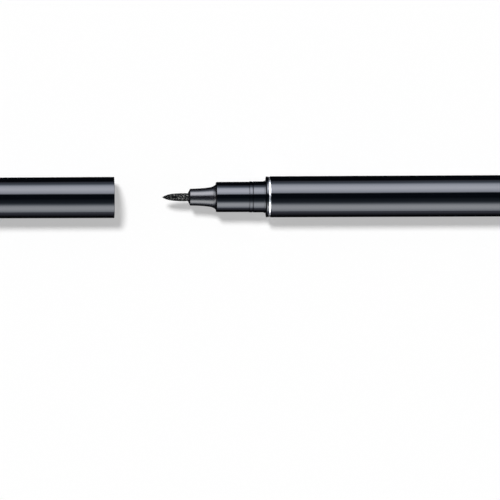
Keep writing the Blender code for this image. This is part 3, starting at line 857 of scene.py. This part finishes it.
def makeCapShell():
    corners = [
        (cap["length"], 0, 0),
        (cap["length"], cap["endRadius"], cap["rounding"]),
        (0, cap["radius"], cap["rim"]),
        (0, cap["bore"], cap["rim"]),
        (cap["inside"], cap["bore"], 0.3),
        (cap["inside"], 0, 0),
    ]
    shell = turnedPiece("capShell", corners, mouthX, glossBlack, closed=False, segments=192)
    ribLength = cap["inside"] - capRibs["seat"] + capRibs["sink"]
    size = (ribLength, 2 * cap["bore"] + capRibs["bite"], capRibs["thickness"])
    for i in range(capRibs["count"]):
        turn = math.pi / capRibs["count"] * i
        shapeWithBox(shell, size, (capRibs["seat"] + ribLength / 2, 0, 0), mouthX, turn, "UNION")
    settle(shell, "cap", "gloss_black", "cap_shell")


def makeCapLiner():
    detent = rib(liner["detent"], liner["detentWidth"], liner["bore"], -liner["detentHeight"])
    corners = [
        (liner["end"], liner["bore"], 0.08),
        (liner["end"], liner["radius"], 0.12),
        (liner["front"], liner["radius"], 0.05),
        (liner["front"], liner["bore"] + liner["leadDepth"], 0.05),
        (liner["front"] + liner["lead"], liner["bore"], 0.15),
        *reversed(detent),
    ]
    piece = turnedPiece("capLiner", corners, mouthX, linerPlastic)
    settle(piece, "cap", "liner_plastic", "cap_liner")


# Inner cap and its spring

seal = {
    "rim": 16.34, "flange": 4.38, "flangeWidth": 0.8, "mouth": 2.88, "lead": 0.8, "bore": 2.24,
    "radius": 2.99, "step": 20.16, "chamber": 1.65, "chamberEnd": 27.58, "draft": 0.1,
    "rear": 28.48, "spigot": 2.14, "spigotLength": 1.6,
}
spring = {
    "turns": 7, "radius": 2.42, "wire": 0.4, "front": 28.56, "rear": 38.2, "closing": 0.5,
    "pointsPerTurn": 32, "sides": 12, "travel": 2.0,
}


def makeInnerCap():
    corners = [
        (seal["rear"] + seal["spigotLength"], 0, 0),
        (seal["rear"] + seal["spigotLength"], seal["spigot"], 0.12),
        (seal["rear"], seal["spigot"], 0.06),
        (seal["rear"], seal["radius"], 0.2),
        (seal["rim"] + seal["flangeWidth"], seal["radius"], 0.15),
        (seal["rim"] + seal["flangeWidth"], seal["flange"], 0.1),
        (seal["rim"], seal["flange"], 0.1),
        (seal["rim"], seal["mouth"], 0.12),
        (seal["rim"] + seal["lead"], seal["bore"], 0.3),
        (seal["step"], seal["bore"], 0.15),
        (seal["step"] + seal["lead"], seal["chamber"], 0.3),
        (seal["chamberEnd"], seal["chamber"] - seal["draft"], 0.4),
        (seal["chamberEnd"], 0, 0),
    ]
    piece = turnedPiece("innerCap", corners, mouthX, sealPlastic, closed=False)
    settle(piece, "inner_cap", "seal_plastic", "inner_cap")


# One wire wound about the axis, its turns closing up towards both ends
def makeSpringTree():
    tree, given = newTree("coilSpring", {
        "Turns": "Float", "Points": "Int", "Radius": "Float", "Wire Radius": "Float",
        "Length": "Float", "Start": "Vector", "Material": "Material",
    })
    line = addNode(tree, "GeometryNodeCurvePrimitiveLine").outputs[0]
    wire = addNode(tree, "GeometryNodeResampleCurve", Curve=line, Count=given["Points"]).outputs[0]
    way = addNode(tree, "GeometryNodeSplineParameter").outputs["Factor"]
    angle = calc(tree, "MULTIPLY", calc(tree, "MULTIPLY", way, given["Turns"]), math.tau)
    swing = calc(tree, "SINE", calc(tree, "MULTIPLY", way, math.tau))
    close = calc(tree, "MULTIPLY", swing, -spring["closing"] / math.tau)
    out = calc(tree, "MULTIPLY", calc(tree, "ADD", way, close), given["Length"])
    start = addNode(tree, "ShaderNodeSeparateXYZ", Vector=given["Start"]).outputs
    x = calc(tree, "SUBTRACT", start["X"], out)
    y = calc(tree, "MULTIPLY", given["Radius"], calc(tree, "COSINE", angle))
    z = calc(tree, "MULTIPLY_ADD", given["Radius"], calc(tree, "SINE", angle), start["Z"])
    place = addNode(tree, "ShaderNodeCombineXYZ", X=x, Y=y, Z=z).outputs[0]
    wire = addNode(tree, "GeometryNodeSetPosition", Geometry=wire, Position=place).outputs[0]
    side = addNode(
        tree, "GeometryNodeCurvePrimitiveCircle",
        Resolution=spring["sides"], Radius=given["Wire Radius"],
    ).outputs[0]
    skin = addNode(tree, "GeometryNodeCurveToMesh", Curve=wire, Profile_Curve=side, Fill_Caps=True)
    closeTree(tree, skin.outputs[0], given["Material"])
    return tree


def makeSpring():
    length = spring["rear"] - spring["front"] - spring["wire"]
    piece = newObject("capSpring", bpy.data.meshes.new("capSpring"))
    grow(piece, makeSpringTree(), {
        "Turns": float(spring["turns"]), "Points": spring["turns"] * spring["pointsPerTurn"] + 1,
        "Radius": spring["radius"] * mm, "Wire Radius": spring["wire"] / 2 * mm,
        "Length": length * mm,
        "Start": (mouthX - (spring["front"] + spring["wire"] / 2) * mm, 0, axisZ),
        "Material": brightSteel,
    })
    settle(piece, "cap", "steel", "cap_spring")
    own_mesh(piece)


makeCapShell()
makeCapLiner()
makeInnerCap()
makeSpring()
print("cap, liner, inner cap and spring made")


# Floor. Seen directly it is white and keeps the shadow. In gloss it shows a painted reflection:
# painted dark close to the pen and a painted glow further out. Its sizes are in m, apart from
# the drop, and each glow rises from one place to another.

ground = {
    "size": 6.0, "drop": 0.03, "albedo": 0.6, "lift": 0.42, "glow": (0.75, 0.78, 1, 1),
    "ends": {"fromLow": 0.09, "fromHigh": 0.125, "low": 0.0, "high": 1.08},
    "front": {"fromLow": -0.0125, "fromHigh": -0.045, "low": 0.007, "high": 0.73},
    "back": {"fromLow": 0.042, "fromHigh": 0.112, "low": 0.0, "high": 0.68},
}


def bareFinish(name):
    finish = bpy.data.materials.new(name)
    finish.use_nodes = True
    finish.node_tree.nodes.clear()
    return finish, finish.node_tree


# Adds or mixes two shaders, which are the node's last two inputs
def joined(tree, kind, first, second, **inputs):
    node = addNode(tree, kind, **inputs)
    tree.links.new(first.outputs[0], node.inputs[-2])
    tree.links.new(second.outputs[0], node.inputs[-1])
    return node


def makeFloor():
    shape = bmesh.new()
    bmesh.ops.create_grid(shape, x_segments=1, y_segments=1, size=ground["size"] / 2)
    shape.transform(Matrix.Translation((0, 0, -ground["drop"] * mm)))
    floor = objectFrom("floor", shape)
    finish, tree = bareFinish("floorWhite")
    rays = addNode(tree, "ShaderNodeLightPath").outputs
    matt = addNode(tree, "ShaderNodeBsdfDiffuse", Color=(ground["albedo"],) * 3 + (1,))
    seen = calc(tree, "MULTIPLY", rays["Is Camera Ray"], ground["lift"])
    lift = addNode(tree, "ShaderNodeEmission", Strength=seen)
    direct = joined(tree, "ShaderNodeAddShader", matt, lift)
    position = addNode(tree, "ShaderNodeTexCoord").outputs["Object"]
    place = addNode(tree, "ShaderNodeSeparateXYZ", Vector=position).outputs
    # What gloss sees is a painted reflection, dark near the pen and glowing further out
    ends = spread(tree, calc(tree, "ABSOLUTE", place["X"]), **ground["ends"])
    front = spread(tree, place["Y"], **ground["front"])
    back = spread(tree, place["Y"], **ground["back"])
    glow = calc(tree, "MAXIMUM", calc(tree, "ADD", front, back), ends)
    paintedReflection = addNode(tree, "ShaderNodeEmission", Color=ground["glow"], Strength=glow)
    both = joined(tree, "ShaderNodeMixShader", direct, paintedReflection, Fac=rays["Is Glossy Ray"])
    addNode(tree, "ShaderNodeOutputMaterial", Surface=both.outputs[0])
    floor.data.materials.append(finish)


# A half-round light tent over the pen, its sizes in m. Only gloss sees it: a bright panel at
# the back with a hard upper edge, and a softer one at the front. Panels are (degrees from
# overhead, brightness), the front on the negative side. They turn bluer where they fade.

tent = {
    "radius": 0.45, "halfLength": 1.6, "steps": 48, "red": 0.85, "redFade": 0.12,
    "green": 0.88, "greenFade": 0.06, "frontBlue": 0.95,
    # It is dimmer towards its ends, so that gloss doesn't burn out from low side views. On
    # the brush's side only the upper part is, because the flared nozzle mirrors the rest.
    "tailEnd": {"fromLow": 0.1, "fromHigh": 0.45, "low": 1.0, "high": 0.4},
    "brushEnd": {"fromLow": -0.25, "fromHigh": -0.5, "low": 0.0, "high": 0.5},
    "upper": {"fromLow": math.radians(55), "fromHigh": math.radians(75), "low": 1.0, "high": 0.0},
}
tentPanels = [
    (-90, 2.8), (-84, 3.2), (-77, 4.35), (-70, 5.2), (-60, 5.6), (-50, 4.75), (-44, 2.95),
    (-38, 1.3), (-32, 0.5), (-26, 0.27), (-15, 0.17), (-8, 0.045), (17, 0.035), (22, 4.9),
    (30, 6.5), (41, 8.0), (48, 8.2), (60, 7.0), (67, 5.8), (74, 3.0), (81, 1.0), (90, 0.75),
]


def makeTent():
    shape = bmesh.new()
    rows = []
    for i in range(tent["steps"] + 1):
        angle = math.pi * (i / tent["steps"] - 0.5)
        y, z = tent["radius"] * math.sin(angle), tent["radius"] * math.cos(angle)
        rows.append([shape.verts.new((x, y, z)) for x in (-tent["halfLength"], tent["halfLength"])])
    for low, high in zip(rows, rows[1:]):
        shape.faces.new((low[0], low[1], high[1], high[0]))
    cover = objectFrom("lightTent", shape)
    finish, tree = bareFinish("tentGlow")
    position = addNode(tree, "ShaderNodeTexCoord").outputs["Object"]
    place = addNode(tree, "ShaderNodeSeparateXYZ", Vector=position).outputs
    lean = calc(tree, "ARCTAN2", place["Y"], place["Z"])
    halfTurn = calc(tree, "MULTIPLY_ADD", lean, 1 / math.pi, 0.5)
    ramp = addNode(tree, "ShaderNodeValToRGB", Fac=halfTurn)
    stops = ramp.color_ramp.elements
    peak = max(value for _, value in tentPanels)
    frontPeak = max(value for degrees, value in tentPanels if degrees < 0)
    while len(stops) < len(tentPanels):
        stops.new(0.5)
    for stop, (degrees, value) in zip(stops, tentPanels):
        stop.position = degrees / 180 + 0.5
        level, fade = value / peak, value / (peak if degrees > 0 else frontPeak)
        stop.color = (
            level * tent["red"] * fade ** tent["redFade"],
            level * tent["green"] * fade ** tent["greenFade"],
            level * (1.0 if degrees > 0 else tent["frontBlue"]),
            1,
        )
    upper = spread(tree, calc(tree, "ABSOLUTE", lean), **tent["upper"])
    dimmed = calc(tree, "MULTIPLY", spread(tree, place["X"], **tent["brushEnd"]), upper)
    bright = calc(tree, "SUBTRACT", spread(tree, place["X"], **tent["tailEnd"]), dimmed)
    strength = calc(tree, "MULTIPLY", bright, peak / tent["red"])
    glow = addNode(tree, "ShaderNodeEmission", Color=ramp.outputs[0], Strength=strength)
    addNode(tree, "ShaderNodeOutputMaterial", Surface=glow.outputs[0])
    cover.data.materials.append(finish)
    cover.visible_camera = False
    cover.visible_diffuse = False
    cover.visible_shadow = False


# Lights. The world is white where it is seen directly, and dim as a light.

light = {"direction": (-0.25, 0.43, 1.0), "strength": 3.02, "angle": 12.5, "ambient": 0.1}


def makeLights():
    lamp = bpy.data.lights.new("key", "SUN")
    lamp.energy = light["strength"]
    lamp.angle = math.radians(light["angle"])
    key = newObject("key", lamp)
    key.rotation_euler = Vector(light["direction"]).to_track_quat("Z", "Y").to_euler()
    key.visible_glossy = False
    world = bpy.data.worlds.new("studio")
    bpy.context.scene.world = world
    world.use_nodes = True
    tree = world.node_tree
    tree.nodes.clear()
    rays = addNode(tree, "ShaderNodeLightPath").outputs
    seen = calc(tree, "MULTIPLY_ADD", rays["Is Camera Ray"], 1 - light["ambient"], light["ambient"])
    sky = addNode(tree, "ShaderNodeBackground", Color=(1, 1, 1, 1), Strength=seen)
    addNode(tree, "ShaderNodeOutputWorld", Surface=sky.outputs[0])


# Camera. Pixels are the photo's, and the angles are in degrees.

photo = {
    "size": 500, "lens": 300.0, "sensor": 36.0, "farthest": 20, "mmPerPixel": 0.2555,
    "barrelFrontX": 270.3, "axisY": 196.9, "tilt": 3.3, "roll": 0.285,
}


# Nearly straight down, leaning towards the brush, with the pen where the photo has it
def makeCamera():
    scale = photo["mmPerPixel"] * mm
    middle = photo["size"] / 2
    target = Vector((
        frontX + (middle - photo["barrelFrontX"]) * scale,
        (photo["axisY"] - middle) * scale,
        axisZ,
    ))
    lens = bpy.data.cameras.new("camera")
    lens.lens = photo["lens"]
    lens.sensor_width = photo["sensor"]
    lens.clip_end = photo["farthest"]
    camera = newObject("camera", lens)
    distance = photo["size"] * scale * photo["lens"] / photo["sensor"]
    lean = math.radians(photo["tilt"])
    away = Vector((-math.sin(lean), 0, math.cos(lean)))
    roll = Matrix.Rotation(math.radians(photo["roll"]), 3, away)
    camera.location = target + away * distance
    camera.rotation_euler = (roll.inverted() @ Matrix.Rotation(-lean, 3, "Y")).to_euler()
    bpy.context.scene.camera = camera


makeFloor()
makeTent()
makeLights()
makeCamera()
bpy.context.scene.view_settings.view_transform = "Standard"
print("floor, light tent, key light and camera made")
